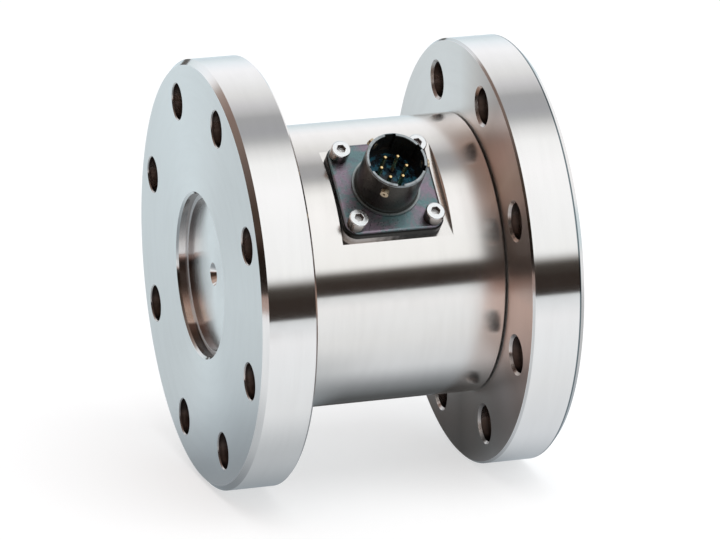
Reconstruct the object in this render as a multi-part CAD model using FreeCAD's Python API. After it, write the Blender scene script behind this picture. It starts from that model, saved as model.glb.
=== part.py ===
"""Static torque sensor, flange to flange, with a bayonet connector on a milled flat.

The row frame has +X along the torque axis, from the near flange to the far one,
and +Z up. The origin is the centre of the near flange's outer face.
Everything is first built with the connector pointing straight up,
then turned about the torque axis by connector_lean.
"""
import FreeCAD, Part
import math
import os

Vector = FreeCAD.Vector

# Torsion shaft inside the sleeve, in millimetres
gauge_diameter = 22.0
gauge_fillet = 3.0
shoulder_step = 3.2
shoulder_skin = 0.2
spigot_length = 8.0
spigot_chamfer = 0.8
far_spigot_length = 10.0
far_spigot_clearance = 0.3
seal_section = 2.0
seal_groove_width = 2.6

# Strain gauges on the shaft's four flats
gauge_count = 4
gauge_length = 10.0
gauge_width = 8.0
gauge_margin = 0.6
gauge_carrier = 0.15
gauge_grid = 0.08
gauge_grid_lines = 4
gauge_grid_line_width = 0.35
gauge_grid_pitch = 0.9
gauge_grid_length = 4.2
tab_size = 1.4
ribbon_width = 2.4
ribbon_thickness = 0.15

# Balancing board on the shaft's shoulder
board_bore_clearance = 2.5
board_ring_width = 7.5
board_thickness = 1.2
board_standoff = 3.0
board_screw_edge_distance = 3.0
board_screw_count = 3
board_screw_start_angle = 60.0
board_screw_thread = 2.0
board_screw_engagement = 2.3
board_screw_head = 3.8
board_screw_head_height = 1.3
board_screw_head_chamfer = 0.3
standoff_wall = 1.0
trim_resistor_count = 4
trim_resistor_length = 3.2
trim_resistor_width = 1.6
trim_resistor_height = 0.7
trim_resistor_start_angle = 112.5
trim_resistor_step_angle = 45.0

# Cover sleeve
sleeve_clearance = 4.0
sleeve_wall = 7.8
sleeve_chamfer = 0.3
running_gap = 0.4

# Flanges
flange_thickness = 12.7
span_between_flanges = 51.0
nut_clearance = 4.0
bolt_hole = 8.4
bolt_edge_distance = 9.0
bolt_count = 8
bolt_start_angle = 21.0
bolt_hole_break = 0.25
bolt_hole_chamfer = 0.6
face_chamfer = 1.25
inner_chamfer = 0.5

# Centring recess in each outer face
pilot_depth = 2.5
pilot_ledge = 1.2
pilot_mouth_chamfer = 0.5
shaft_end_setback = 0.8
floor_fillet = 0.7
centre_hole = 2.0
centre_hole_depth = 5.5
centre_cone = 5.4
centre_cone_angle = 60.0
centre_drill_point = 0.6

# Milled flat and the connector's place on it
connector_lean = 45.0
connector_offset = 0.9
flat_depth = 2.4
flat_margin = 1.35

# Connector shell
screw_spacing = 18.26
plate_edge_distance = 2.77
plate_thickness = 2.0
plate_corner_radius = 3.2
plate_edge_round = 0.8
gasket_thickness = 1.3
barrel_diameter = 14.4
barrel_wall = 0.75
barrel_height = 11.8
collar_step = 0.8
collar_height = 0.7
rim_chamfer = 0.25
keyway_width = 1.5
main_keyway_width = 2.6
keyway_depth = 0.45
keyway_length = 6.0
keyway_angles = (195.0, 265.0, 335.0, 25.0)
main_keyway_angle = 90.0
rear_barrel_length = 5.0
rear_barrel_clearance = 0.3
insert_ledge = 1.0
insert_ledge_height = 2.5

# Bayonet pins, insert and contacts
bayonet_pin_count = 3
bayonet_pin_diameter = 1.9
bayonet_pin_projection = 1.0
bayonet_pin_below_rim = 2.9
bayonet_pin_dimple = 0.6
bayonet_pin_dimple_depth = 0.6
insert_face_depth = 7.9
insert_collar_width = 0.9
insert_collar_height = 0.8
insert_ridge_gap = 0.5
insert_ridge_width = 0.4
insert_ridge_height = 0.4
contact_count = 6
contact_circle = 6.0
contact_diameter = 1.0
contact_tip_below_rim = 2.7
contact_tip_radius = 0.35
contact_boss_wall = 0.4
contact_boss_height = 0.4
solder_cup_wall = 0.25
solder_cup_bore = 1.0
solder_cup_length = 4.0
solder_cup_depth = 2.5

# Connector screws and lock washers
screw_thread = 2.5
screw_engagement = 4.2
screw_head = 4.5
screw_head_height = 2.5
screw_head_round = 0.3
screw_socket = 2.0
screw_socket_depth = 1.2
screw_hole_clearance = 0.2
tapped_hole_clearance = 0.04
tapped_hole_spare = 0.5
washer_thickness = 0.6
washer_width = 0.85
washer_slit = 0.4

# Signal leads from the solder cups to the board
lead_diameter = 0.9
lead_bend_radius = 2.0
lead_edge_distance = 2.0
lead_level_step = 1.6

# Diameters, worked out from the shaft outwards
board_bore = gauge_diameter + 2 * board_bore_clearance
shoulder_diameter = board_bore + 2 * board_ring_width
board_screw_circle = shoulder_diameter - 2 * board_screw_edge_distance
shaft_end_diameter = shoulder_diameter - 2 * shoulder_step
pilot_diameter = shaft_end_diameter + 2 * pilot_ledge
sleeve_bore_radius = shoulder_diameter / 2 + sleeve_clearance
sleeve_radius = sleeve_bore_radius + sleeve_wall
bolt_circle = 2 * (sleeve_radius + nut_clearance) + bolt_hole
flange_radius = bolt_circle / 2 + bolt_edge_distance
gauge_radius = gauge_diameter / 2
gauge_flat_width = gauge_width + 2 * gauge_margin
gauge_flat_height = math.sqrt(gauge_radius ** 2 - (gauge_flat_width / 2) ** 2)

# Places along the torque axis, from the near flange's outer face
length = 2 * flange_thickness + span_between_flanges
middle = length / 2
far_inner_face = flange_thickness + span_between_flanges
sleeve_end = far_inner_face - running_gap
shaft_end = pilot_depth + shaft_end_setback
spigot_end = flange_thickness + spigot_length
shoulder_length = board_screw_engagement + tapped_hole_spare + shoulder_skin
shoulder_end = spigot_end + shoulder_length
gauge_start = shoulder_end + gauge_fillet
far_spigot_start = far_inner_face - far_spigot_length
gauge_end = far_spigot_start - gauge_fillet
gauge_middle = (gauge_start + gauge_end) / 2
near_seal_middle = flange_thickness + spigot_length / 2
far_seal_middle = far_spigot_start + far_spigot_length / 2
board_face = shoulder_end + board_standoff + board_thickness
connector_x = middle - connector_offset

# The connector's sizes across
plate_width = screw_spacing + 2 * plate_edge_distance
flat_width = plate_width + 2 * flat_margin
barrel_radius = barrel_diameter / 2
barrel_bore_radius = barrel_radius - barrel_wall
collar_radius = barrel_radius + collar_step
rear_hole_radius = barrel_radius + rear_barrel_clearance
screw_hole_radius = (screw_thread + screw_hole_clearance) / 2

# Heights from the torque axis along the connector's axis
flat_height = sleeve_radius - flat_depth
plate_base = flat_height + gasket_thickness
plate_top = plate_base + plate_thickness
rim_height = plate_top + barrel_height
rear_end = plate_base - rear_barrel_length
insert_base = rear_end + insert_ledge_height
insert_top = rim_height - insert_face_depth
contact_tip = rim_height - contact_tip_below_rim
bayonet_height = rim_height - bayonet_pin_below_rim
cup_end = insert_base - solder_cup_length
head_base = plate_top + washer_thickness
screw_tip = flat_height - screw_engagement
screw_hole_floor = screw_tip - tapped_hole_spare
lead_upper_level = shoulder_diameter / 2 - lead_edge_distance

X_AXIS = Vector(1, 0, 0)
Z_AXIS = Vector(0, 0, 1)
ORIGIN = Vector(0, 0, 0)
CLOSE = 1e-6


def ring_angles(count, start):
    """Angles in degrees of count places spread evenly round a circle."""
    return [start + 360.0 * index / count for index in range(count)]


def around_shaft(x, radius, angle):
    """The point at x whose direction is angle degrees from the connector's, about the shaft."""
    turn = math.radians(angle)
    return Vector(x, -radius * math.sin(turn), radius * math.cos(turn))


def around_connector(radius, angle, z):
    """The point at height z whose direction about the connector's axis is angle degrees."""
    turn = math.radians(angle)
    x = connector_x + radius * math.cos(turn)
    return Vector(x, radius * math.sin(turn), z)


def turned(points, axis=X_AXIS, centre=ORIGIN):
    """A solid turned about axis from (along, radius) points."""
    if axis == X_AXIS:
        corners = [Vector(along, 0, radius) for along, radius in points]
    else:
        corners = [Vector(radius, 0, along) for along, radius in points]
    outline = Part.makePolygon(corners + corners[:1])
    solid = Part.Face(outline).revolve(ORIGIN, axis, 360)
    solid.translate(centre)
    return solid


def on_connector_axis(z=0.0):
    """The point at height z on the connector's axis."""
    return Vector(connector_x, 0, z)


def x_cylinder(radius, start, end):
    """A cylinder about the torque axis."""
    return Part.makeCylinder(radius, end - start, Vector(start, 0, 0), X_AXIS)


def round_edges(solid, radius, wanted):
    """Fillet the edges that the test wanted picks."""
    edges = [edge for edge in solid.Edges if wanted(edge)]
    return solid.makeFillet(radius, edges)


def is_circle_at(edge, x, radius):
    """Whether edge is a full circle about the torque axis at x."""
    if not hasattr(edge.Curve, "Radius"):
        return False
    same_place = abs(edge.Curve.Center.x - x) < CLOSE
    return same_place and abs(edge.Curve.Radius - radius) < CLOSE


def centre_drilling(face, inward):
    """The centre-drilled hole in a shaft end: a cone that runs into a pilot hole."""
    cone_depth = (centre_cone - centre_hole) / 2 / math.tan(math.radians(centre_cone_angle / 2))
    outline = [
        (face, 0),
        (face, centre_cone / 2),
        (face + inward * cone_depth, centre_hole / 2),
        (face + inward * centre_hole_depth, centre_hole / 2),
        (face + inward * (centre_hole_depth + centre_drill_point), 0),
    ]
    return turned(outline)


def bolt_holes(outer_face, inward):
    """The through holes of a flange, with a light edge break outside and a chamfer inside."""
    radius = bolt_hole / 2
    inner_radius = radius + bolt_hole_chamfer
    outer_radius = radius + bolt_hole_break
    outline = [
        (0, 0),
        (0, outer_radius),
        (bolt_hole_break, radius),
        (flange_thickness - bolt_hole_chamfer, radius),
        (flange_thickness, inner_radius),
        (flange_thickness, 0),
    ]
    holes = []
    for angle in ring_angles(bolt_count, bolt_start_angle):
        place = around_shaft(0, bolt_circle / 2, angle)
        hole = turned([(outer_face + inward * along, across) for along, across in outline])
        hole.translate(place)
        holes.append(hole)
    return holes


def seal_groove(place, outer_radius):
    """The ring cut from a spigot for its seal, down to the seal's inner radius."""
    start = place - seal_groove_width / 2
    end = place + seal_groove_width / 2
    floor_radius = sleeve_bore_radius - seal_section
    return x_cylinder(2 * outer_radius, start, end).cut(x_cylinder(floor_radius, start, end))


def near_flange():
    """The flange ring at the origin, with the spigot that the sleeve is pressed on."""
    bore = shaft_end_diameter / 2
    pilot = pilot_diameter / 2
    ring = turned([
        (0, pilot + pilot_mouth_chamfer),
        (0, flange_radius - face_chamfer),
        (face_chamfer, flange_radius),
        (flange_thickness - inner_chamfer, flange_radius),
        (flange_thickness, flange_radius - inner_chamfer),
        (flange_thickness, sleeve_bore_radius),
        (spigot_end - spigot_chamfer, sleeve_bore_radius),
        (spigot_end, sleeve_bore_radius - spigot_chamfer),
        (spigot_end, bore),
        (pilot_depth, bore),
        (pilot_depth, pilot),
        (pilot_mouth_chamfer, pilot),
    ])
    groove = seal_groove(near_seal_middle, sleeve_bore_radius)
    return ring.cut(bolt_holes(0, 1) + [groove])


def torsion_shaft():
    """The shaft and the far flange, turned as one piece, with flats for the gauges."""
    far_spigot = sleeve_bore_radius - far_spigot_clearance
    pilot = pilot_diameter / 2
    ledge = length - pilot_depth
    floor = ledge - shaft_end_setback
    body = turned([
        (shaft_end, 0),
        (shaft_end, shaft_end_diameter / 2),
        (spigot_end, shaft_end_diameter / 2),
        (spigot_end, shoulder_diameter / 2),
        (shoulder_end, shoulder_diameter / 2),
        (shoulder_end, gauge_radius),
        (far_spigot_start, gauge_radius),
        (far_spigot_start, far_spigot - spigot_chamfer),
        (far_spigot_start + spigot_chamfer, far_spigot),
        (far_inner_face, far_spigot),
        (far_inner_face, flange_radius - inner_chamfer),
        (far_inner_face + inner_chamfer, flange_radius),
        (length - face_chamfer, flange_radius),
        (length, flange_radius - face_chamfer),
        (length, pilot + pilot_mouth_chamfer),
        (length - pilot_mouth_chamfer, pilot),
        (ledge, pilot),
        (ledge, shaft_end_diameter / 2),
        (floor, shaft_end_diameter / 2),
        (floor, 0),
    ])
    body = round_edges(body, gauge_fillet, lambda edge: (
        is_circle_at(edge, shoulder_end, gauge_radius)
        or is_circle_at(edge, far_spigot_start, gauge_radius)))
    body = round_edges(body, floor_fillet, lambda edge: (
        is_circle_at(edge, floor, shaft_end_diameter / 2)))
    tools = bolt_holes(length, -1)
    tools.append(centre_drilling(shaft_end, 1))
    tools.append(centre_drilling(floor, -1))
    tools.append(seal_groove(far_seal_middle, far_spigot))
    tools.extend(gauge_flats())
    tools.extend(board_screw_holes())
    return body.cut(tools)


def gauge_flats():
    """The material milled off the round section to leave four flats."""
    flats = []
    for angle in ring_angles(gauge_count, 0):
        block = Part.makeBox(
            gauge_end - gauge_start, gauge_diameter, gauge_radius,
            Vector(gauge_start, -gauge_radius, gauge_flat_height))
        block.rotate(ORIGIN, X_AXIS, angle)
        flats.append(block)
    return flats


def board_screw_holes():
    """Tapped holes in the shoulder for the board's screws."""
    radius = board_screw_thread / 2 + tapped_hole_clearance
    depth = board_screw_engagement + tapped_hole_spare
    holes = []
    for angle in ring_angles(board_screw_count, board_screw_start_angle):
        place = around_shaft(shoulder_end - depth, board_screw_circle / 2, angle)
        holes.append(Part.makeCylinder(radius, depth, place, X_AXIS))
    return holes


def seal(place):
    """A lathe-cut rubber ring between a spigot's groove and the sleeve's bore."""
    start = place - seal_section / 2
    end = place + seal_section / 2
    floor_radius = sleeve_bore_radius - seal_section
    return x_cylinder(sleeve_bore_radius, start, end).cut(x_cylinder(floor_radius, start, end))


def cover_sleeve():
    """The tube over the shaft, with a milled flat and the holes that the connector needs."""
    sleeve = turned([
        (flange_thickness, sleeve_bore_radius),
        (flange_thickness, sleeve_radius - sleeve_chamfer),
        (flange_thickness + sleeve_chamfer, sleeve_radius),
        (sleeve_end - sleeve_chamfer, sleeve_radius),
        (sleeve_end, sleeve_radius - sleeve_chamfer),
        (sleeve_end, sleeve_bore_radius),
    ])
    flat = Part.makeBox(
        flat_width, 2 * sleeve_radius, sleeve_radius,
        Vector(middle - flat_width / 2, -sleeve_radius, flat_height))
    opening = Part.makeCylinder(rear_hole_radius, sleeve_radius, on_connector_axis(), Z_AXIS)
    tools = [flat, opening]
    hole_radius = screw_thread / 2 + tapped_hole_clearance
    for place in screw_places(screw_hole_floor):
        tools.append(Part.makeCylinder(hole_radius, sleeve_radius, place, Z_AXIS))
    return sleeve.cut(tools)


def strain_gauge(index):
    """A foil gauge with its grid at 45 degrees and two solder tabs, on one flat."""
    carrier = Part.makeBox(
        gauge_length, gauge_width, gauge_carrier,
        Vector(gauge_middle - gauge_length / 2, -gauge_width / 2, gauge_flat_height))
    top = gauge_flat_height + gauge_carrier
    pieces = [carrier]
    grid_middle = Vector(gauge_middle + tab_size / 2, 0, top)
    for line in range(gauge_grid_lines):
        offset = (line - (gauge_grid_lines - 1) / 2) * gauge_grid_pitch
        strip = Part.makeBox(
            gauge_grid_length, gauge_grid_line_width, gauge_grid,
            grid_middle + Vector(-gauge_grid_length / 2, offset - gauge_grid_line_width / 2, 0))
        strip.rotate(grid_middle, Z_AXIS, 45)
        pieces.append(strip)
    for side in (-1, 1):
        pieces.append(Part.makeBox(
            tab_size, tab_size, gauge_grid,
            Vector(gauge_middle - gauge_length / 2 + gauge_grid,
                   side * gauge_width / 4 - tab_size / 2, top)))
    gauge = pieces[0].fuse(pieces[1:])
    gauge.rotate(ORIGIN, X_AXIS, 360.0 * index / gauge_count)
    return gauge


def gauge_ribbon(index):
    """The flat lead from a gauge to the board: along the flat, then out across the board."""
    gauge_edge = gauge_middle - gauge_length / 2
    outer = (board_bore + board_screw_circle) / 4
    along = Part.makeBox(
        gauge_edge - board_face, ribbon_width, ribbon_thickness,
        Vector(board_face, -ribbon_width / 2, gauge_flat_height))
    across = Part.makeBox(
        ribbon_thickness, ribbon_width, outer - gauge_flat_height,
        Vector(board_face, -ribbon_width / 2, gauge_flat_height))
    ribbon = along.fuse(across)
    ribbon.rotate(ORIGIN, X_AXIS, 360.0 * index / gauge_count)
    return ribbon


def bridge_board():
    """The ring-shaped board that holds the balancing resistors."""
    start = shoulder_end + board_standoff
    board = x_cylinder(shoulder_diameter / 2, start, board_face)
    tools = [x_cylinder(board_bore / 2, start, board_face)]
    for angle in ring_angles(board_screw_count, board_screw_start_angle):
        place = around_shaft(start, board_screw_circle / 2, angle)
        hole_radius = board_screw_thread / 2 + tapped_hole_clearance
        tools.append(Part.makeCylinder(hole_radius, board_thickness, place, X_AXIS))
    return board.cut(tools)


def trim_resistor_block(index):
    """One chip resistor on the board's face."""
    ring_middle = (board_bore + shoulder_diameter) / 4
    chip = Part.makeBox(
        trim_resistor_height, trim_resistor_length, trim_resistor_width,
        Vector(board_face, -trim_resistor_length / 2, ring_middle - trim_resistor_width / 2))
    angle = trim_resistor_start_angle + trim_resistor_step_angle * index
    chip.rotate(ORIGIN, X_AXIS, angle)
    return chip


def board_standoff_tube(angle):
    """A spacer between the shoulder and the board."""
    place = around_shaft(shoulder_end, board_screw_circle / 2, angle)
    hole_radius = board_screw_thread / 2 + tapped_hole_clearance
    tube = Part.makeCylinder(hole_radius + standoff_wall, board_standoff, place, X_AXIS)
    return tube.cut(Part.makeCylinder(hole_radius, board_standoff, place, X_AXIS))


def board_screw(angle):
    """A screw through the board and its spacer into the shoulder."""
    tip = shoulder_end - board_screw_engagement
    place = around_shaft(tip, board_screw_circle / 2, angle)
    shank = Part.makeCylinder(board_screw_thread / 2, board_face - tip, place, X_AXIS)
    head_place = around_shaft(board_face, board_screw_circle / 2, angle)
    head = Part.makeCylinder(board_screw_head / 2, board_screw_head_height, head_place, X_AXIS)
    top_edges = [edge for edge in head.Edges if edge.BoundBox.XMin > board_face + CLOSE]
    head = head.makeChamfer(board_screw_head_chamfer, top_edges)
    return shank.fuse(head).removeSplitter()


def screw_places(z):
    """The four places of the connector's screws at height z."""
    half = screw_spacing / 2
    places = []
    for side_x, side_y in ((-1, 1), (-1, -1), (1, -1), (1, 1)):
        places.append(on_connector_axis(z) + Vector(side_x * half, side_y * half, 0))
    return places


def rounded_plate(width, base, thickness):
    """A square plate with rounded corners, centred on the connector's axis."""
    corner = on_connector_axis(base) - Vector(width / 2, width / 2, 0)
    plate = Part.makeBox(width, width, thickness, corner)
    return round_edges(plate, plate_corner_radius, lambda edge: (
        abs(edge.tangentAt(edge.FirstParameter).z) > 0.99))


def plate_cuts(base, thickness):
    """The screw clearance holes through a plate."""
    places = screw_places(base)
    return [Part.makeCylinder(screw_hole_radius, thickness, place, Z_AXIS) for place in places]


def connector_gasket():
    """The rubber sheet between the flat and the connector's plate."""
    sheet = rounded_plate(plate_width, flat_height, gasket_thickness)
    tools = plate_cuts(flat_height, gasket_thickness)
    tools.append(Part.makeCylinder(
        rear_hole_radius, gasket_thickness, on_connector_axis(flat_height), Z_AXIS))
    return sheet.cut(tools)


def keyway(width, angle):
    """One keyway cut down the barrel's bore from the rim."""
    depth = barrel_bore_radius + keyway_depth
    slot = Part.makeBox(
        depth, width, keyway_length,
        on_connector_axis(rim_height - keyway_length) - Vector(0, width / 2, 0))
    slot.rotate(on_connector_axis(), Z_AXIS, angle)
    return slot


def connector_shell():
    """Square plate, collar and barrel in one piece, with keyways inside the rim."""
    plate = rounded_plate(plate_width, plate_base, plate_thickness)
    top_edges = [edge for edge in plate.Edges if edge.BoundBox.ZMin > plate_top - CLOSE]
    plate = plate.makeFillet(plate_edge_round, top_edges)
    plate = plate.cut(plate_cuts(plate_base, plate_thickness))
    barrel = turned([
        (rear_end, 0),
        (rear_end, barrel_radius),
        (plate_top, barrel_radius),
        (plate_top, collar_radius),
        (plate_top + collar_height, collar_radius),
        (plate_top + collar_height, barrel_radius),
        (rim_height - rim_chamfer, barrel_radius),
        (rim_height, barrel_radius - rim_chamfer),
        (rim_height, 0),
    ], Z_AXIS, on_connector_axis())
    cavity = turned([
        (rear_end, 0),
        (rear_end, barrel_bore_radius - insert_ledge),
        (insert_base, barrel_bore_radius - insert_ledge),
        (insert_base, barrel_bore_radius),
        (rim_height, barrel_bore_radius),
        (rim_height, 0),
    ], Z_AXIS, on_connector_axis())
    tools = [cavity, keyway(main_keyway_width, main_keyway_angle)]
    tools.extend(keyway(keyway_width, angle) for angle in keyway_angles)
    tools.extend(bayonet_pin_hole(angle) for angle in bayonet_angles())
    return plate.fuse(barrel).removeSplitter().cut(tools)


def bayonet_angles():
    """Directions of the bayonet pins about the connector's axis."""
    return ring_angles(bayonet_pin_count, 0.0)


def bayonet_pin_hole(angle):
    """The hole in the barrel's wall that a bayonet pin is pressed into."""
    outward = around_connector(1, angle, 0) - on_connector_axis()
    return Part.makeCylinder(
        bayonet_pin_diameter / 2, barrel_diameter, on_connector_axis(bayonet_height), outward)


def bayonet_pin(angle):
    """A pin through the barrel's wall, flush inside, with a drilled dimple in its outer end."""
    outward = around_connector(1, angle, 0) - on_connector_axis()
    inner = math.sqrt(barrel_bore_radius ** 2 - (bayonet_pin_diameter / 2) ** 2)
    outer = barrel_radius + bayonet_pin_projection
    pin = Part.makeCylinder(
        bayonet_pin_diameter / 2, outer - inner,
        around_connector(inner, angle, bayonet_height), outward)
    dimple = Part.makeCylinder(
        bayonet_pin_dimple / 2, bayonet_pin_dimple_depth,
        around_connector(outer - bayonet_pin_dimple_depth, angle, bayonet_height), outward)
    return pin.cut(dimple)


def contact_places(z):
    """The places of the contacts at height z."""
    angles = ring_angles(contact_count, 0.0)
    return [around_connector(contact_circle / 2, angle, z) for angle in angles]


def connector_insert():
    """The insulating block in the barrel, with a raised ridge and a boss round each contact."""
    shallow = insert_top - insert_collar_height
    collar_inside = barrel_bore_radius - insert_collar_width
    ridge_outside = collar_inside - insert_ridge_gap
    ridge_inside = ridge_outside - insert_ridge_width
    ridge_top = shallow + insert_ridge_height
    block = turned([
        (insert_base, 0),
        (insert_base, barrel_bore_radius),
        (insert_top, barrel_bore_radius),
        (insert_top, collar_inside),
        (shallow, collar_inside),
        (shallow, ridge_outside),
        (ridge_top, ridge_outside),
        (ridge_top, ridge_inside),
        (shallow, ridge_inside),
        (shallow, 0),
    ], Z_AXIS, on_connector_axis())
    bosses = []
    for place in contact_places(shallow):
        bosses.append(Part.makeCylinder(
            contact_diameter / 2 + contact_boss_wall, contact_boss_height, place, Z_AXIS))
    holes = []
    for place in contact_places(insert_base):
        holes.append(Part.makeCylinder(
            contact_diameter / 2, rim_height - insert_base, place, Z_AXIS))
    return block.fuse(bosses).cut(holes)


def contact(place):
    """A round pin with a domed tip and a solder cup at its rear end."""
    pin_length = contact_tip - insert_base
    pin = Part.makeCylinder(contact_diameter / 2, pin_length, place, Z_AXIS)
    pin = round_edges(pin, contact_tip_radius, lambda edge: (
        hasattr(edge.Curve, "Radius") and edge.Curve.Center.z > contact_tip - CLOSE))
    cup_place = place - Vector(0, 0, solder_cup_length)
    cup_radius = solder_cup_bore / 2 + solder_cup_wall
    cup = Part.makeCylinder(cup_radius, solder_cup_length, cup_place, Z_AXIS)
    bore = Part.makeCylinder(solder_cup_bore / 2, solder_cup_depth, cup_place, Z_AXIS)
    scoop = Part.makeBox(
        2 * cup_radius, 2 * cup_radius, solder_cup_depth / 2,
        cup_place + Vector(0, -cup_radius, 0))
    return pin.fuse(cup).removeSplitter().cut([bore, scoop])


def signal_lead(place):
    """An insulated wire that drops from a solder cup, bends and ends on the board."""
    far_side = place.x > connector_x
    level = lead_upper_level - (lead_level_step if far_side else 0.0)
    top = Vector(place.x, place.y, cup_end)
    corner = Vector(place.x, place.y, level)
    bend_start = corner + Vector(0, 0, lead_bend_radius)
    bend_end = corner - Vector(lead_bend_radius, 0, 0)
    reach = lead_bend_radius * (1 - math.sqrt(0.5))
    bend_middle = corner + Vector(-reach, 0, reach)
    path = Part.Wire([
        Part.LineSegment(top, bend_start).toShape(),
        Part.Arc(bend_start, bend_middle, bend_end).toShape(),
        Part.LineSegment(bend_end, Vector(board_face, place.y, level)).toShape(),
    ])
    section = Part.Wire(Part.makeCircle(lead_diameter / 2, top, Z_AXIS))
    return path.makePipeShell([section], True, False)


def connector_screw(place):
    """A socket head cap screw, with its head on the lock washer."""
    shank_length = place.z - screw_tip
    shank = Part.makeCylinder(
        screw_thread / 2, shank_length, place - Vector(0, 0, shank_length), Z_AXIS)
    head = Part.makeCylinder(screw_head / 2, screw_head_height, place, Z_AXIS)
    head_top = place.z + screw_head_height
    head = round_edges(head, screw_head_round, lambda edge: (
        hasattr(edge.Curve, "Radius") and edge.Curve.Center.z > head_top - CLOSE))
    corner_radius = screw_socket / math.sqrt(3)
    corners = []
    for angle in ring_angles(6, 0.0):
        turn = math.radians(angle)
        corners.append(place + Vector(
            corner_radius * math.cos(turn), corner_radius * math.sin(turn),
            screw_head_height - screw_socket_depth))
    socket = Part.Face(Part.makePolygon(corners + corners[:1]))
    return shank.fuse(head).removeSplitter().cut(socket.extrude(Z_AXIS * screw_head_height))


def lock_washer(place):
    """A split spring washer between a screw's head and the plate."""
    outer = screw_hole_radius + washer_width
    ring = Part.makeCylinder(outer, washer_thickness, place, Z_AXIS)
    slit = Part.makeBox(
        outer, washer_slit, washer_thickness, place - Vector(0, washer_slit / 2, 0))
    bore = Part.makeCylinder(screw_hole_radius, washer_thickness, place, Z_AXIS)
    return ring.cut([bore, slit])


def numbered(name, solids):
    """Name repeated pieces name_1, name_2 and so on."""
    return {f"{name}_{index}": solid for index, solid in enumerate(solids, 1)}


def build():
    """Every piece of the sensor by name, with the connector pointing straight up."""
    board_angles = ring_angles(board_screw_count, board_screw_start_angle)
    pieces = {
        "near_flange": near_flange(),
        "torsion_shaft": torsion_shaft(),
        "cover_sleeve": cover_sleeve(),
        "near_seal": seal(near_seal_middle),
        "far_seal": seal(far_seal_middle),
        "bridge_board": bridge_board(),
        "connector_gasket": connector_gasket(),
        "connector_shell": connector_shell(),
        "connector_insert": connector_insert(),
    }
    pieces.update(numbered("strain_gauge", map(strain_gauge, range(gauge_count))))
    pieces.update(numbered("gauge_ribbon", map(gauge_ribbon, range(gauge_count))))
    pieces.update(numbered("trim_resistor", map(trim_resistor_block, range(trim_resistor_count))))
    pieces.update(numbered("board_standoff", map(board_standoff_tube, board_angles)))
    pieces.update(numbered("board_screw", map(board_screw, board_angles)))
    pieces.update(numbered("bayonet_pin", map(bayonet_pin, bayonet_angles())))
    pieces.update(numbered("contact_pin", map(contact, contact_places(insert_base))))
    pieces.update(numbered("signal_lead", map(signal_lead, contact_places(cup_end))))
    pieces.update(numbered("connector_screw", map(connector_screw, screw_places(head_base))))
    pieces.update(numbered("lock_washer", map(lock_washer, screw_places(plate_top))))
    return pieces


os.makedirs("parts", exist_ok=True)
for node, solid in build().items():
    solid.rotate(ORIGIN, X_AXIS, connector_lean)
    solid.exportStep(f"parts/{node}.step")
    print(f"{node}: volume {solid.Volume:.2f} mm3, {len(solid.Solids)} solid, valid {solid.isValid()}")
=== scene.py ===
"""Looks, light and camera for the static torque sensor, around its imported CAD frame."""

import math

import bpy
from mathutils import Matrix, Vector

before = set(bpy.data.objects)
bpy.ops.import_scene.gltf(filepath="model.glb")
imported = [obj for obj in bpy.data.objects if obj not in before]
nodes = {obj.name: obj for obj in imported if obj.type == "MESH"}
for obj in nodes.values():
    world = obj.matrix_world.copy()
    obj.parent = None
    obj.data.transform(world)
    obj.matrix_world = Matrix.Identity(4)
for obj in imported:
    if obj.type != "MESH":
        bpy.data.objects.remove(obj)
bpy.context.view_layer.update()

# Places that the materials need, in metres, in the row frame
FLOOR_Z = -0.050
LEAN = math.radians(45)
CONNECTOR_AXIS = Vector((0, -math.sin(LEAN), math.cos(LEAN)))
CONNECTOR_SIDE = Vector((0, math.cos(LEAN), math.sin(LEAN)))
CONNECTOR_FOOT = Vector((0.0373, 0, 0))
PLATE_TOP = 0.0337
RIM_HEIGHT = 0.0455
SCREW_HALF_SPACING = 0.00913
LENGTH = 0.0764
FLANGE = 0.0127
MIDDLE_X = LENGTH / 2

# Bands on the steel. A tone comes in from the first value to the second, and goes out again from
# the third to the fourth. Radii are taken from the torque axis, and x from the near face.
BOLT_RING_RADII = (0.0345, 0.0350, 0.0468, 0.0472)
RECESS_WALL_RADII = (0.0150, 0.0155, 0.0193, 0.0196)
LEDGE_RADII = (0.0177, 0.0179, 0.0189, 0.0191)
INNER_FACE_X = (0.0628, 0.0632, 0.0642, 0.0646)
INNER_EDGE_X = (0.06370, 0.06376, 0.06415, 0.06425)
OUTER_EDGE_X = (0.07480, 0.07494, 0.07525, 0.07540)

# Tool marks per metre
GROOVES = 2600.0
STREAKS = 420.0


# Node building

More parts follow.
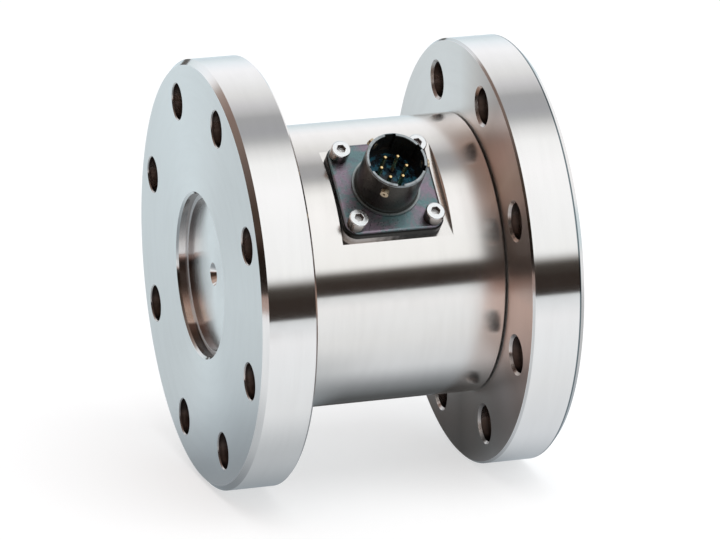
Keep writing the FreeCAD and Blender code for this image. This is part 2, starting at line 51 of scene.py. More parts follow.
class Tree:
    """A thin wrapper that adds and links shader nodes."""

    def __init__(self, tree):
        self.tree = tree
        tree.nodes.clear()

    def node(self, kind, inputs=None, **settings):
        made = self.tree.nodes.new(kind)
        for name, value in settings.items():
            setattr(made, name, value)
        for name, value in (inputs or {}).items():
            self.put(value, made.inputs[name])
        return made

    def put(self, value, socket):
        """Link value to socket if it comes from a node, else set it as the socket's own value."""
        if isinstance(value, bpy.types.NodeSocket):
            self.tree.links.new(value, socket)
        else:
            socket.default_value = value

    def math(self, operation, first, second=0.0, clamp=False):
        made = self.node("ShaderNodeMath", {0: first, 1: second}, operation=operation)
        made.use_clamp = clamp
        return made.outputs[0]

    def vector_math(self, operation, first, second=(0, 0, 0)):
        made = self.node("ShaderNodeVectorMath", {0: first, 1: second}, operation=operation)
        name = "Value" if operation in ("DOT_PRODUCT", "LENGTH") else "Vector"
        return made.outputs[name]

    def scaled(self, vector, amount):
        made = self.node("ShaderNodeVectorMath", {0: vector, "Scale": amount}, operation="SCALE")
        return made.outputs["Vector"]

    def split(self, vector):
        return self.node("ShaderNodeSeparateXYZ", {0: vector}).outputs

    def join(self, x, y, z):
        return self.node("ShaderNodeCombineXYZ", {0: x, 1: y, 2: z}).outputs[0]

    def smooth(self, value, low, high, start=0.0, end=1.0):
        """A smooth step of value from low to high, given as start to end."""
        made = self.node("ShaderNodeMapRange", {
            "Value": value, "From Min": low, "From Max": high, "To Min": start, "To Max": end,
        }, interpolation_type="SMOOTHSTEP")
        return made.outputs["Result"]

    def band(self, value, rise_from, rise_to, fall_from, fall_to):
        """1 where value lies in a band, 0 outside it, with soft ends."""
        rise = self.smooth(value, rise_from, rise_to)
        fall = self.smooth(value, fall_from, fall_to, 1.0, 0.0)
        return self.math("MULTIPLY", rise, fall)

    def ramp(self, factor, stops):
        """A straight ramp of colours, given as places from 0 to 1 with their colours."""
        made = self.node("ShaderNodeValToRGB", {"Fac": factor})
        band = made.color_ramp
        while len(band.elements) < len(stops):
            band.elements.new(1.0)
        for element, (place, colour) in zip(band.elements, stops):
            element.position = place
            element.color = (*colour, 1.0)
        return made.outputs["Color"]

    def mix(self, factor, first, second, blend="MIX"):
        made = self.node("ShaderNodeMix", data_type="RGBA", blend_type=blend)
        self.put(factor, made.inputs["Factor"])
        self.put(self.rgba(first), made.inputs["A"])
        self.put(self.rgba(second), made.inputs["B"])
        return made.outputs["Result"]

    def rgba(self, value):
        return (*value, 1.0) if isinstance(value, tuple) and len(value) == 3 else value

    def noise(self, vector, scale, detail=3.0, roughness=0.5, distortion=0.0):
        made = self.node("ShaderNodeTexNoise", {
            "Vector": vector, "Scale": scale, "Detail": detail,
            "Roughness": roughness, "Distortion": distortion,
        })
        return made.outputs["Fac"]

    def place(self):
        """The point in the row frame, in metres."""
        return self.node("ShaderNodeTexCoord").outputs["Object"]

    def facing(self):
        """The surface's direction in the row frame."""
        return self.node("ShaderNodeNewGeometry").outputs["Normal"]

    def bump(self, height, strength, distance, normal=None):
        made = self.node("ShaderNodeBump", {
            "Height": height, "Strength": strength, "Distance": distance,
        })
        if normal is not None:
            self.put(normal, made.inputs["Normal"])
        return made.outputs["Normal"]

    def surface(self, **values):
        """A Principled shader with these inputs, linked to the output."""
        shader = self.node("ShaderNodeBsdfPrincipled")
        for name, value in values.items():
            self.put(self.rgba(value), shader.inputs[name.replace("_", " ")])
        output = self.node("ShaderNodeOutputMaterial")
        self.tree.links.new(shader.outputs[0], output.inputs["Surface"])


def at(degrees):
    """The place of an angle on a ramp that runs from -180 to 180 degrees."""
    return 0.5 + degrees / 360.0


def material(name):
    """A new node material and its tree."""
    made = bpy.data.materials.new(name)
    made.use_nodes = True
    return made, Tree(made.node_tree)


def dress(made, *names):
    """Give CAD nodes a material. A name that ends in "_" means all its numbered nodes."""
    for name in names:
        for key, piece in nodes.items():
            numbered = name.endswith("_") and key.startswith(name)
            if key == name or numbered:
                for slot in piece.material_slots:
                    slot.material = made


def around_shaft(tree, place):
    """A point's x, its distance from the torque axis, and its angle round that axis."""
    x, y, z = tree.split(place)[:3]
    radius = tree.vector_math("LENGTH", tree.join(0.0, y, z))
    angle = tree.math("ARCTAN2", z, y)
    return x, radius, angle


# Steel

def turned_normal(tree, place):
    """The surface's direction, without the sideways error of the facets where it was turned."""
    y, z = tree.split(place)[1:3]
    tangent = tree.vector_math("NORMALIZE", tree.join(0.0, tree.math("MULTIPLY", z, -1.0), y))
    normal = tree.facing()
    sideways = tree.vector_math("DOT_PRODUCT", normal, tangent)
    amount = tree.math("ABSOLUTE", sideways)
    was_turned = tree.math("SUBTRACT", 1.0, tree.smooth(amount, 0.028, 0.042))
    away = tree.math("MULTIPLY", sideways, was_turned)
    trued = tree.vector_math("SUBTRACT", normal, tree.scaled(tangent, away))
    return tree.vector_math("NORMALIZE", trued)


def hole_walls(tree, radius, facing_x):
    """How much a point lies on the wall or the chamfer of a bolt hole."""
    chamfer = tree.smooth(facing_x, 0.35, 0.55, 0.0, 0.4)
    face = tree.smooth(facing_x, 0.80, 0.90, 0.0, 0.6)
    beside = tree.math("SUBTRACT", 1.0, tree.math("ADD", chamfer, face))
    return tree.math("MULTIPLY", tree.band(radius, *BOLT_RING_RADII), beside)


def hole_painted_shade(tree, x, facing_z):
    """Painted shade and painted reflections inside a bolt hole: brown bands that darken with
    depth, and painted shade where its wall turns up or down.
    """
    depth = None
    for face in (0.0, FLANGE, LENGTH - FLANGE, LENGTH):
        away = tree.math("ABSOLUTE", tree.math("SUBTRACT", x, face))
        depth = away if depth is None else tree.math("MINIMUM", depth, away)
    deepest = 0.004
    tint = tree.ramp(tree.math("DIVIDE", depth, deepest), [
        (0.00, (0.46, 0.37, 0.33)),
        (0.14, (0.26, 0.19, 0.165)),
        (0.28, (0.56, 0.45, 0.40)),
        (0.42, (0.46, 0.36, 0.32)),
        (0.60, (0.15, 0.11, 0.095)),
        (1.00, (0.30, 0.24, 0.21)),
    ])
    turned_away = tree.smooth(tree.math("ABSOLUTE", facing_z), 0.72, 0.97, 0.0, 0.75)
    return tree.mix(turned_away, tint, (0.06, 0.045, 0.04))


def step_wall(tree, radius, x, facing_x):
    """How much a point lies on the milled step beside the connector."""
    from_middle = tree.math("ABSOLUTE", tree.math("SUBTRACT", x, MIDDLE_X))
    near_flat = tree.smooth(from_middle, 0.0142, 0.0146, 1.0, 0.0)
    wall = tree.math("MULTIPLY", near_flat, tree.smooth(facing_x, 0.85, 0.95))
    return tree.math("MULTIPLY", wall, tree.smooth(radius, 0.0303, 0.0305))


def recess_walls(tree, radius, facing_x):
    """How much a point lies on the wall of a centring recess."""
    beside = tree.smooth(facing_x, 0.5, 0.8, 1.0, 0.0)
    return tree.math("MULTIPLY", tree.band(radius, *RECESS_WALL_RADII), beside)


def far_face_painted_reflection(tree, x, y, z, radius, facing_x):
    """Painted reflection round the far flange's inner face: brown and darker tones that vary with
    the angle round the axis.
    """
    past_sleeve = tree.smooth(radius, 0.0330, 0.0332)
    here = tree.math("MULTIPLY", tree.band(x, *INNER_FACE_X), past_sleeve)
    here = tree.math("MULTIPLY", here, tree.smooth(facing_x, 0.90, 0.97))
    turn = tree.math("ARCTAN2", tree.math("MULTIPLY", y, -1.0), z)
    tone = tree.ramp(tree.math("ADD", tree.math("DIVIDE", turn, 2 * math.pi), 0.5), [
        (at(-180), (0.50, 0.46, 0.44)),
        (at(-140), (0.92, 0.88, 0.865)),
        (at(0), (1.00, 0.955, 0.935)),
        (at(14), (0.82, 0.74, 0.70)),
        (at(32), (0.58, 0.49, 0.46)),
        (at(42), (0.72, 0.62, 0.60)),
        (at(52), (0.95, 0.90, 0.89)),
        (at(64), (0.80, 0.74, 0.73)),
        (at(80), (0.42, 0.37, 0.35)),
        (at(86), (0.56, 0.44, 0.40)),
        (at(92), (0.74, 0.53, 0.46)),
        (at(108), (0.76, 0.55, 0.48)),
        (at(121), (0.66, 0.52, 0.47)),
        (at(132), (0.88, 0.78, 0.75)),
        (at(152), (0.96, 0.92, 0.90)),
        (at(168), (0.72, 0.66, 0.63)),
        (at(180), (0.50, 0.46, 0.44)),
    ])
    return tree.mix(here, (1.0, 1.0, 1.0), tone)


def turned_steel(name, roughness, face_roughness, grain, warmth, far_end_roughness):
    """Fine-turned bright steel: circular tool marks, a satin face and brighter round surfaces,
    with painted shade in the bolt holes, the recess and the milled step, painted reflections on
    the far flange's inner face, painted dark lines at its edges and a painted highlight ring
    inside the recess.
    """
    made, tree = material(name)
    place = tree.place()
    x, radius, angle = around_shaft(tree, place)
    y, z = tree.split(place)[1:3]
    facing_x = tree.math("ABSOLUTE", tree.split(tree.facing())[0])
    is_face = tree.smooth(facing_x, 0.80, 0.97)

    def marks(per_metre, round_turn, detail):
        """Noise that is drawn out round the torque axis."""
        drawn = tree.join(
            tree.math("MULTIPLY", x, per_metre),
            tree.math("MULTIPLY", radius, per_metre),
            tree.math("MULTIPLY", angle, round_turn))
        return tree.noise(drawn, 1.0, detail=detail, roughness=0.6)

    grooves = marks(GROOVES, 1.6, 2.0)
    streaks = marks(STREAKS, 2.4, 4.0)
    clouds = tree.noise(place, 55.0, detail=4.0, roughness=0.55)

    tint = tree.mix(clouds, (0.835, 0.800, 0.775), (0.880, 0.850, 0.825))
    tint = tree.mix(tree.smooth(streaks, 0.35, 0.75, 0.0, 0.22), tint, (0.76, 0.725, 0.70))
    # Painted shade and brown painted reflections inside the bolt holes
    inside = hole_walls(tree, radius, facing_x)
    tint = tree.mix(inside, tint, hole_painted_shade(tree, x, tree.split(tree.facing())[2]))
    # Painted shade on the milled step's wall: near black, with a painted lit band at its top
    height = tree.vector_math("DOT_PRODUCT", place, tuple(CONNECTOR_AXIS))
    lit_part = tree.smooth(height, 0.0312, 0.0317)
    step = tree.mix(lit_part, (0.07, 0.06, 0.055), (0.80, 0.70, 0.66))
    tint = tree.mix(step_wall(tree, radius, x, facing_x), tint, step)
    # Painted shade and painted reflections on the centring recess's wall, darkest at the bottom,
    # and painted shade in its inner step
    recess_width = 0.038
    wall = tree.ramp(tree.math("ADD", tree.math("DIVIDE", z, recess_width), 0.5), [
        (0.000, (0.06, 0.05, 0.045)),
        (0.065, (0.09, 0.07, 0.06)),
        (0.105, (0.17, 0.13, 0.115)),
        (0.117, (0.96, 0.92, 0.89)),
        (0.175, (0.98, 0.96, 0.94)),
        (0.240, (0.72, 0.66, 0.63)),
        (0.310, (0.34, 0.29, 0.27)),
        (0.475, (0.30, 0.25, 0.23)),
        (0.488, (0.84, 0.82, 0.81)),
        (0.600, (0.74, 0.70, 0.68)),
        (0.780, (0.56, 0.52, 0.50)),
        (1.000, (0.34, 0.31, 0.29)),
    ])
    inner_step = tree.smooth(radius, 0.01795, 0.01815, 0.75, 0.0)
    wall = tree.mix(inner_step, wall, (0.16, 0.12, 0.11))
    tint = tree.mix(recess_walls(tree, radius, facing_x), tint, wall)
    # Painted reflection tones on the far flange's inner face
    tint = tree.mix(1.0, tint, far_face_painted_reflection(tree, x, y, z, radius, facing_x), blend="MULTIPLY")
    tint = tree.mix(1.0, tint, warmth, blend="MULTIPLY")

    # Painted shade on the near chamfer's lower part, and a thin painted dark line along each edge
    # of the far flange where its chamfers show dark reflections
    low = tree.smooth(z, -0.026, -0.046)
    chamfer_painted_shade = tree.math("MULTIPLY", low, tree.smooth(x, 0.0011, 0.0013, 1.0, 0.0))
    chamfer_painted_shade = tree.math("MULTIPLY", chamfer_painted_shade, tree.smooth(radius, 0.0487, 0.0489, 0.0, 0.50))
    tint = tree.mix(chamfer_painted_shade, tint, (0.14, 0.16, 0.17))
    outermost = tree.smooth(radius, 0.0494, 0.0496, 0.0, 0.30)
    inner_edge_painted_line = tree.math("MULTIPLY", tree.band(x, *INNER_EDGE_X), outermost)
    tint = tree.mix(inner_edge_painted_line, tint, (0.16, 0.17, 0.18))
    at_rim = tree.smooth(radius, 0.0485, 0.0488, 0.0, 0.95)
    outer_edge_painted_line = tree.math("MULTIPLY", tree.band(x, *OUTER_EDGE_X), at_rim)
    tint = tree.mix(outer_edge_painted_line, tint, (0.10, 0.135, 0.15))

    # A painted highlight: the narrow ring inside the recess is white and not metal, so it shows as
    # a bright line
    ledge_painted_highlight = tree.math("MULTIPLY", tree.band(radius, *LEDGE_RADII), is_face)
    tint = tree.mix(ledge_painted_highlight, tint, (0.99, 0.99, 0.99))
    in_recess = tree.smooth(radius, 0.0188, 0.0192, 1.0, 0.0)
    face = tree.math("SUBTRACT", tree.math("MULTIPLY", is_face, face_roughness - roughness),
                     tree.math("MULTIPLY", in_recess, 0.09))
    base = tree.math("ADD", roughness, tree.math("MAXIMUM", face, 0.0))
    base = tree.math("ADD", base, tree.math("MULTIPLY", inside, 0.16))
    base = tree.math("ADD", base, tree.smooth(x, 0.048, 0.060, 0.0, far_end_roughness))
    uneven = tree.math("MULTIPLY", tree.math("SUBTRACT", clouds, 0.5), 0.05)
    fine = tree.math("MULTIPLY", tree.math("SUBTRACT", streaks, 0.5), 0.05)
    rough = tree.math("ADD", base, tree.math("ADD", uneven, fine), clamp=True)
    groove_depth = 0.00002
    normal = tree.bump(grooves, grain, groove_depth, turned_normal(tree, place))
    tangent = tree.node("ShaderNodeTangent", direction_type="RADIAL", axis="X").outputs[0]
    tree.surface(
        Base_Color=tint, Metallic=tree.math("SUBTRACT", 1.0, ledge_painted_highlight), Roughness=rough,
        Normal=normal, Anisotropic=0.72, Anisotropic_Rotation=0.25, Tangent=tangent)
    return made


def screw_reach(tree, from_foot):
    """Distance from the axis of the nearest connector screw."""
    beside = tree.vector_math("DOT_PRODUCT", from_foot, tuple(CONNECTOR_SIDE))
    along = tree.split(from_foot)[0]
    nearest = [
        tree.math("SUBTRACT", tree.math("ABSOLUTE", offset), SCREW_HALF_SPACING)
        for offset in (beside, along)
    ]
    return tree.vector_math("LENGTH", tree.join(nearest[0], nearest[1], 0.0))


def bright_screw_steel():
    """Bright stainless steel of small screws with a few fine marks, painted shade on the heads'
    sides and in the sockets, and socket floors made pale as painted light.
    """
    made, tree = material("screw_steel_dressed")
    place = tree.place()
    marks = tree.noise(place, 2200.0, detail=3.0)
    from_foot = tree.vector_math("SUBTRACT", place, tuple(CONNECTOR_FOOT))
    facing_out = tree.vector_math("DOT_PRODUCT", tree.facing(), tuple(CONNECTOR_AXIS))
    facing_out = tree.math("ABSOLUTE", facing_out)
    reach = screw_reach(tree, from_foot)
    side = tree.smooth(facing_out, 0.3, 0.6, 1.0, 0.0)
    inside = tree.smooth(reach, 0.0013, 0.0015, 1.0, 0.0)
    height = tree.vector_math("DOT_PRODUCT", from_foot, tuple(CONNECTOR_AXIS))
    tint = tree.mix(marks, (0.84, 0.83, 0.82), (0.93, 0.93, 0.93))
    # Painted shade: the heads' sides darken towards the plate
    up_the_head = tree.smooth(height, PLATE_TOP + 0.0006, PLATE_TOP + 0.0030)
    head_side_painted_shade = tree.mix(up_the_head, (0.10, 0.09, 0.085), (0.46, 0.42, 0.40))
    tint = tree.mix(side, tint, head_side_painted_shade)
    # Painted shade inside the hex sockets
    tint = tree.mix(tree.math("MULTIPLY", side, inside), tint, (0.10, 0.075, 0.068))
    # Painted light: the sockets' floors are mostly non-metal, so they show pale
    socket = tree.smooth(reach, 0.00116, 0.00120, 1.0, 0.0)
    floor = tree.math("MULTIPLY", tree.smooth(facing_out, 0.85, 0.95), socket)
    rough = tree.smooth(marks, 0.3, 0.7, 0.14, 0.22)
    normal = tree.bump(marks, 0.06, 0.00001)
    tree.surface(
        Base_Color=tint, Metallic=tree.math("SUBTRACT", 1.0, tree.math("MULTIPLY", floor, 0.8)),
        Roughness=rough, Normal=normal)
    return made


# The connector

def connector_black():
    """Black plating with a painted teal and purple sheen on the plate, near-black painted shade on
    its sides, a painted highlight ring on the collar and lighter patches at the rim's top.
    """
    made, tree = material("black_plate_dressed")
    place = tree.place()
    from_foot = tree.vector_math("SUBTRACT", place, tuple(CONNECTOR_FOOT))
    height = tree.vector_math("DOT_PRODUCT", from_foot, tuple(CONNECTOR_AXIS))
    facing_out = tree.vector_math("DOT_PRODUCT", tree.facing(), tuple(CONNECTOR_AXIS))
    clouds = tree.noise(place, 170.0, detail=5.0, roughness=0.65, distortion=0.6)
    grain = tree.noise(place, 2500.0, detail=2.0)
    # A painted sheen: teal and purple tones in the plate's colour
    sheen = tree.ramp(clouds, [
        (0.30, (0.160, 0.195, 0.220)),
        (0.42, (0.165, 0.265, 0.272)),
        (0.50, (0.235, 0.240, 0.262)),
        (0.58, (0.315, 0.235, 0.295)),
        (0.70, (0.195, 0.235, 0.250)),
    ])
    # Painted shade: faces turned away from the connector's axis are near black
    sheen = tree.mix(tree.smooth(facing_out, 0.55, 0.92), (0.013, 0.012, 0.011), sheen)
    # The collar: a painted highlight ring round its rim, dark within it, and painted grey light on
    # its sides
    collar = tree.smooth(height, PLATE_TOP + 0.00005, PLATE_TOP + 0.0002)
    spread = tree.vector_math("CROSS_PRODUCT", from_foot, tuple(CONNECTOR_AXIS))
    spread = tree.vector_math("LENGTH", spread)
    collar_rim = tree.smooth(spread, 0.0074, 0.0078)
    collar_painted_highlight = tree.mix(collar_rim, (0.060, 0.060, 0.056), (0.36, 0.39, 0.385))
    collar_painted_tone = tree.mix(tree.smooth(facing_out, 0.4, 0.9), (0.20, 0.22, 0.215), collar_painted_highlight)
    colour = tree.mix(collar, sheen, collar_painted_tone)
    barrel = tree.smooth(height, PLATE_TOP + 0.0009, PLATE_TOP + 0.0016)
    colour = tree.mix(barrel, colour, (0.060, 0.053, 0.046))
    # Lighter in patches at the rim's top
    edge = tree.smooth(height, RIM_HEIGHT - 0.00045, RIM_HEIGHT - 0.00025)
    rim_patch_noise = tree.smooth(tree.noise(place, 700.0, detail=3.0), 0.25, 0.55, 0.55, 1.0)
    light_rim_patches = tree.math("MULTIPLY", edge, rim_patch_noise)
    colour = tree.mix(light_rim_patches, colour, (0.42, 0.45, 0.46))
    rough = tree.smooth(grain, 0.3, 0.7, 0.27, 0.40)
    normal = tree.bump(grain, 0.25, 0.00002)
    tree.surface(Base_Color=colour, Metallic=0.9, Roughness=rough, Normal=normal)
    return made


def dark_insulator():
    """The dark moulded block, with a gloss and bright teal patches painted in as glints."""
    made, tree = material("insulator_dressed")
    place = tree.place()
    clouds = tree.noise(place, 620.0, detail=3.0)
    # Painted glints: bright teal patches in the dark colour
    colour = tree.ramp(clouds, [
        (0.40, (0.004, 0.008, 0.014)),
        (0.52, (0.008, 0.030, 0.048)),
        (0.62, (0.020, 0.140, 0.210)),
    ])
    rough = tree.smooth(clouds, 0.3, 0.7, 0.18, 0.34)
    normal = tree.bump(clouds, 0.3, 0.00008)
    tree.surface(Base_Color=colour, Roughness=rough, Normal=normal)
    return made


def plated(name, dark, light, low, high):
    """A small bright metal with slight unevenness."""
    made, tree = material(name)
    place = tree.place()
    marks = tree.noise(place, 1200.0, detail=3.0)
    colour = tree.mix(marks, dark, light)
    rough = tree.smooth(marks, 0.3, 0.7, low, high)
    normal = tree.bump(marks, 0.12, 0.00001)
    tree.surface(Base_Color=colour, Metallic=1.0, Roughness=rough, Normal=normal)
    return made


def plain(name, dark, light, low, high):
    """A coloured non-metal with fine variation."""
    made, tree = material(name)
    place = tree.place()
    marks = tree.noise(place, 600.0, detail=4.0)
    colour = tree.mix(marks, dark, light)
    rough = tree.smooth(marks, 0.3, 0.7, low, high)
    tree.surface(Base_Color=colour, Roughness=rough)
    return made


def gasket_with_painted_reflection():
    """Black rubber sheet, with a pale painted reflection at one end of its lower edge."""
    made, tree = material("gasket_dressed")
    place = tree.place()
    from_foot = tree.vector_math("SUBTRACT", place, tuple(CONNECTOR_FOOT))
    beside = tree.vector_math("DOT_PRODUCT", from_foot, tuple(CONNECTOR_SIDE))
    marks = tree.noise(place, 900.0, detail=4.0)
    along = tree.math("ADD", tree.split(from_foot)[0], tree.math("MULTIPLY", marks, 0.006))
    # A painted reflection: pale towards one end of the lower edge
    low = tree.smooth(beside, -0.0080, -0.0105)
    pale_painted_reflection = tree.math("MULTIPLY", low, tree.smooth(along, 0.0060, -0.0050))
    colour = tree.mix(marks, (0.008, 0.008, 0.008), (0.020, 0.019, 0.018))
    colour = tree.mix(pale_painted_reflection, colour, (0.56, 0.50, 0.47))
    rough = tree.smooth(marks, 0.3, 0.7, 0.55, 0.75)
    normal = tree.bump(marks, 0.2, 0.00003)
    tree.surface(Base_Color=colour, Roughness=rough, Normal=normal)
    return made


flange_steel = turned_steel("ground_steel_flange", 0.12, 0.31, 0.05, (1.0, 1.0, 1.0), 0.0)
sleeve_steel = turned_steel("ground_steel_sleeve", 0.15, 0.22, 0.06, (1.0, 0.985, 0.965), 0.045)
dress(flange_steel, "near_flange", "torsion_shaft")
dress(sleeve_steel, "cover_sleeve")
dress(bright_screw_steel(), "connector_screw_", "lock_washer_", "board_screw_")
dress(connector_black(), "connector_shell")
dress(dark_insulator(), "connector_insert")
dress(plated("gold_contact_dressed", (0.88, 0.62, 0.28), (1.0, 0.78, 0.42), 0.16, 0.26),
      "contact_pin_")
dress(plated("plain_brass_dressed", (0.50, 0.38, 0.24), (0.74, 0.62, 0.46), 0.25, 0.42),
      "bayonet_pin_", "board_standoff_")
dress(plain("seal_rubber_dressed", (0.010, 0.010, 0.010), (0.024, 0.023, 0.022), 0.55, 0.75),
      "near_seal", "far_seal")
dress(gasket_with_painted_reflection(), "connector_gasket")
dress(plain("gauge_foil_dressed", (0.62, 0.40, 0.12), (0.78, 0.56, 0.24), 0.25, 0.40),
      "strain_gauge_", "gauge_ribbon_")
dress(plain("circuit_board_dressed", (0.02, 0.16, 0.07), (0.04, 0.24, 0.11), 0.28, 0.42),
      "bridge_board")
dress(plain("chip_body_dressed", (0.015, 0.015, 0.015), (0.04, 0.04, 0.04), 0.35, 0.5),
      "trim_resistor_")
dress(plain("wire_sleeve_dressed", (0.50, 0.51, 0.53), (0.60, 0.61, 0.63), 0.35, 0.5),
      "signal_lead_")


# Studio: a pale floor, a world of soft boxes and dark gaps, and one soft lamp

def level_sheet(name, x_range, y_range, z, made):
    """A level rectangle that is part of the studio."""
    corners = [(x_range[0], y_range[0], z), (x_range[1], y_range[0], z),
               (x_range[1], y_range[1], z), (x_range[0], y_range[1], z)]
    mesh = bpy.data.meshes.new(name)
    mesh.from_pydata(corners, [], [(0, 1, 2, 3)])
    piece = bpy.data.objects.new(name, mesh)
    bpy.context.scene.collection.objects.link(piece)
    mesh.materials.append(made)
    return piece


def floor_material():
    """Pale floor: plain white to the camera with the object's soft shadow; in reflections a
    painted glowing tone with painted shadows beneath and beside the object and a painted lighter
    patch to its right.
    """
    made, tree = material("studio_floor")
    camera_ray = tree.node("ShaderNodeLightPath").outputs["Is Camera Ray"]
    place = tree.place()
    x, y = tree.split(place)[:2]
    mottle = tree.noise(place, 40.0, detail=2.0)
    seen = tree.mix(mottle, (0.486, 0.490, 0.494), (0.490, 0.494, 0.498))
    colour = tree.mix(camera_ray, (0.03, 0.03, 0.03), seen)
    diffuse = tree.node("ShaderNodeBsdfDiffuse", {"Color": colour}).outputs[0]

    # Its painted tone in reflections, from y -0.32 to 0.40, darker beneath the object as painted
    # shade
    offset = 0.32
    span = 0.72

    def at_y(distance):
        return (distance + offset) / span

    lit = tree.ramp(tree.math("DIVIDE", tree.math("ADD", y, offset), span), [
        (at_y(-0.30), (0.69, 0.74, 0.77)),
        (at_y(-0.22), (0.80, 0.85, 0.89)),
        (at_y(-0.15), (0.91, 0.95, 0.99)),
        (at_y(-0.09), (0.86, 0.91, 0.95)),
        (at_y(-0.06), (0.80, 0.845, 0.88)),
        (at_y(-0.03), (0.68, 0.73, 0.78)),
        (at_y(-0.01), (0.61, 0.67, 0.73)),
        (at_y(0.01), (0.50, 0.58, 0.65)),
        (at_y(0.03), (0.47, 0.55, 0.61)),
        (at_y(0.08), (0.61, 0.71, 0.76)),
        (at_y(0.15), (0.655, 0.765, 0.82)),
        (at_y(0.40), (0.655, 0.765, 0.82)),
    ])
    # Painted shadow beneath the near flange, seen in reflections
    beside_axis = tree.math("ABSOLUTE", y)
    near = tree.math("MULTIPLY", tree.smooth(beside_axis, 0.035, 0.060, 1.0, 0.0),
                     tree.smooth(x, 0.018, 0.050, 0.34, 0.0))
    lit = tree.mix(near, lit, (0.10, 0.13, 0.14))
    # Painted shadow beneath the far half of the object, seen in reflections
    off_x = tree.math("ABSOLUTE", tree.math("SUBTRACT", x, 0.050))
    off_y = tree.math("ABSOLUTE", tree.math("SUBTRACT", y, 0.052))
    shade = tree.math("MULTIPLY", tree.smooth(off_x, 0.012, 0.026, 1.0, 0.0),
                      tree.smooth(off_y, 0.045, 0.085, 1.0, 0.0))
    lit = tree.mix(shade, lit, (0.055, 0.05, 0.048))
    # A painted lighter patch to the right of the object, seen in reflections
    right = tree.math("MULTIPLY", tree.smooth(x, 0.105, 0.150),
                      tree.band(y, -0.10, -0.05, 0.08, 0.16))
    lit = tree.mix(right, lit, (0.84, 0.87, 0.90))
    # Painted contact shadow along the torque axis, seen in reflections
    contact = tree.smooth(beside_axis, 0.010, 0.034, 0.45, 0.0)
    lit = tree.mix(contact, lit, (0.10, 0.12, 0.13))
    lit = tree.mix(camera_ray, lit, (0.58, 0.58, 0.58))
    glow = tree.node("ShaderNodeEmission", {"Color": lit}).outputs[0]
    both = tree.node("ShaderNodeAddShader", {0: diffuse, 1: glow}).outputs[0]
    output = tree.node("ShaderNodeOutputMaterial")
    tree.tree.links.new(both, output.inputs["Surface"])
    return made


def flag_material(name, colour):
    """A flag's plain glowing colour."""
    made, tree = material(name)
    glow = tree.node("ShaderNodeEmission", {"Color": (*colour, 1.0)}).outputs[0]
    output = tree.node("ShaderNodeOutputMaterial")
    tree.tree.links.new(glow, output.inputs["Surface"])
    return made


def flag(name, x_range, y_range, made):
    """A cloth just above the floor that shows only in reflections."""
    piece = level_sheet(name, x_range, y_range, FLOOR_Z + 0.0004, made)
    piece.visible_camera = False
    piece.visible_diffuse = False
    piece.visible_transmission = False
    piece.visible_volume_scatter = False
    piece.visible_shadow = False
    return piece


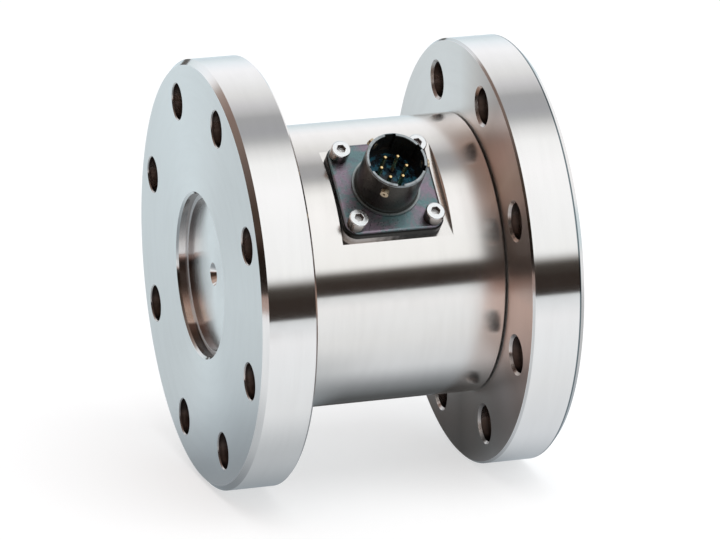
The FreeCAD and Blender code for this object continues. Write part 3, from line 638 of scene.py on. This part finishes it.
def studio_world():
    """Soft boxes above, in front and behind, a grey ceiling strip and a brown left side."""
    world = bpy.data.worlds.new("studio_world")
    bpy.context.scene.world = world
    world.use_nodes = True
    tree = Tree(world.node_tree)
    direction = tree.node("ShaderNodeTexCoord").outputs["Generated"]
    x, y, z = tree.split(direction)[:3]
    turn = tree.math("ARCTAN2", z, tree.math("MULTIPLY", y, -1.0))
    factor = tree.math("ADD", tree.math("DIVIDE", turn, 2 * math.pi), 0.5)
    boxes = tree.ramp(factor, [
        (at(-180), (0.60, 0.68, 0.74)),
        (at(-60), (0.60, 0.66, 0.70)),
        (at(-3), (0.026, 0.020, 0.017)),
        (at(4.5), (0.045, 0.038, 0.032)),
        (at(6), (0.09, 0.085, 0.078)),
        (at(7.6), (0.38, 0.38, 0.37)),
        (at(9.6), (0.72, 0.745, 0.76)),
        (at(12), (0.90, 0.935, 0.95)),
        (at(30), (0.925, 0.96, 0.985)),
        (at(57), (0.98, 1.01, 1.04)),
        (at(73), (0.93, 0.965, 0.985)),
        (at(81), (0.73, 0.755, 0.77)),
        (at(88), (0.42, 0.44, 0.455)),
        (at(93), (0.355, 0.37, 0.395)),
        (at(104), (0.36, 0.375, 0.39)),
        (at(106.5), (0.45, 0.465, 0.48)),
        (at(113), (0.585, 0.60, 0.63)),
        (at(122), (0.735, 0.76, 0.775)),
        (at(136), (0.865, 0.895, 0.925)),
        (at(150), (0.935, 0.965, 1.01)),
        (at(162), (0.82, 0.89, 0.95)),
        (at(171), (0.69, 0.78, 0.82)),
        (at(180), (0.585, 0.67, 0.73)),
    ])
    brown = tree.ramp(factor, [
        (at(-30), (0.30, 0.23, 0.20)),
        (at(-22), (0.060, 0.040, 0.030)),
        (at(20), (0.070, 0.045, 0.032)),
        (at(36), (0.095, 0.058, 0.040)),
        (at(58), (0.37, 0.25, 0.20)),
        (at(72), (0.32, 0.225, 0.17)),
        (at(95), (0.52, 0.39, 0.34)),
        (at(113), (0.47, 0.36, 0.31)),
        (at(128), (0.31, 0.225, 0.195)),
        (at(141), (0.355, 0.29, 0.26)),
        (at(149), (0.55, 0.53, 0.52)),
        (at(158), (0.68, 0.70, 0.72)),
        (at(168), (0.62, 0.67, 0.71)),
        (at(180), (0.48, 0.54, 0.58)),
    ])
    far_left = tree.smooth(x, -0.45, -0.95, 1.0, 0.16)
    brown = tree.mix(1.0, brown, tree.node("ShaderNodeCombineColor", {
        0: far_left, 1: far_left, 2: far_left}).outputs[0], blend="MULTIPLY")
    behind = tree.smooth(y, 0.15, 0.85, 0.0, 0.33)
    left = tree.smooth(tree.math("ADD", x, behind), -0.02, -0.24)
    studio = tree.mix(left, boxes, brown)
    right = tree.math("MULTIPLY", tree.smooth(x, 0.40, 0.56), tree.smooth(y, -0.05, 0.15))
    studio = tree.mix(right, studio, (0.88, 0.90, 0.92))
    strip = tree.math("MULTIPLY", tree.smooth(z, 0.085, 0.115, 1.0, 0.0),
                      tree.smooth(y, 0.30, 0.50))
    strip = tree.math("MULTIPLY", strip, tree.smooth(x, 0.02, 0.12, 1.0, 0.0))
    studio = tree.mix(strip, studio, (0.10, 0.095, 0.09))
    background = tree.node("ShaderNodeBackground", {"Color": studio, "Strength": 1.12}).outputs[0]
    white = tree.node("ShaderNodeBackground", {
        "Color": (1.0, 1.0, 1.0, 1.0), "Strength": 1.0,
    }).outputs[0]
    camera_ray = tree.node("ShaderNodeLightPath").outputs["Is Camera Ray"]
    shown = tree.node("ShaderNodeMixShader", {0: camera_ray, 1: background, 2: white}).outputs[0]
    output = tree.node("ShaderNodeOutputWorld")
    tree.tree.links.new(shown, output.inputs["Surface"])


def soft_lamp(name, place, target, size, power):
    """A square lamp that lights diffuse surfaces and doesn't show in the steel."""
    data = bpy.data.lights.new(name, "AREA")
    data.shape = "SQUARE"
    data.size = size
    data.energy = power
    lamp = bpy.data.objects.new(name, data)
    lamp.location = place
    lamp.rotation_euler = (Vector(target) - Vector(place)).to_track_quat("-Z", "Y").to_euler()
    lamp.visible_glossy = False
    bpy.context.scene.collection.objects.link(lamp)


floor_edge = 9.0
flag_edge = 8.9
# Flags: level sheets that glow with a set colour, dark and brown, and show only in reflections
dark_cloth = flag_material("studio_flag_dark", (0.030, 0.022, 0.018))
brown_cloth = flag_material("studio_flag_brown", (0.42, 0.31, 0.275))
level_sheet("floor", (-floor_edge, floor_edge), (-floor_edge, floor_edge), FLOOR_Z,
            floor_material())
flag("front_flag", (-flag_edge, flag_edge), (-flag_edge, -0.300), dark_cloth)
flag("left_flag", (-flag_edge, -0.80), (-0.300, 0.10), dark_cloth)
flag("brown_flag", (-0.80, 0.012), (-0.300, -0.140), brown_cloth)
flag("brown_flag_end", (0.012, 0.036), (-0.300, -0.180), brown_cloth)
studio_world()
soft_lamp("top_lamp", (0.1, -0.5, 1.6), (0.04, 0, 0), 1.4, 14.0)


# Camera, from the fit to the photograph

camera_data = bpy.data.cameras.new("camera")
camera_data.sensor_width = 36.0
camera_data.lens = 277.444
camera_data.clip_start = 0.05
camera_data.clip_end = 50.0
camera = bpy.data.objects.new("camera", camera_data)
right = Vector((0.94983, -0.31270, -0.00628))
upward = Vector((0.08982, 0.25350, 0.96316))
backward = Vector((-0.29958, -0.91540, 0.26887))
camera.matrix_world = Matrix((
    (right.x, upward.x, backward.x, -0.348309),
    (right.y, upward.y, backward.y, -1.183057),
    (right.z, upward.z, backward.z, 0.345179),
    (0, 0, 0, 1),
))
bpy.context.scene.collection.objects.link(camera)
bpy.context.scene.camera = camera
bpy.context.scene.view_settings.view_transform = "Standard"
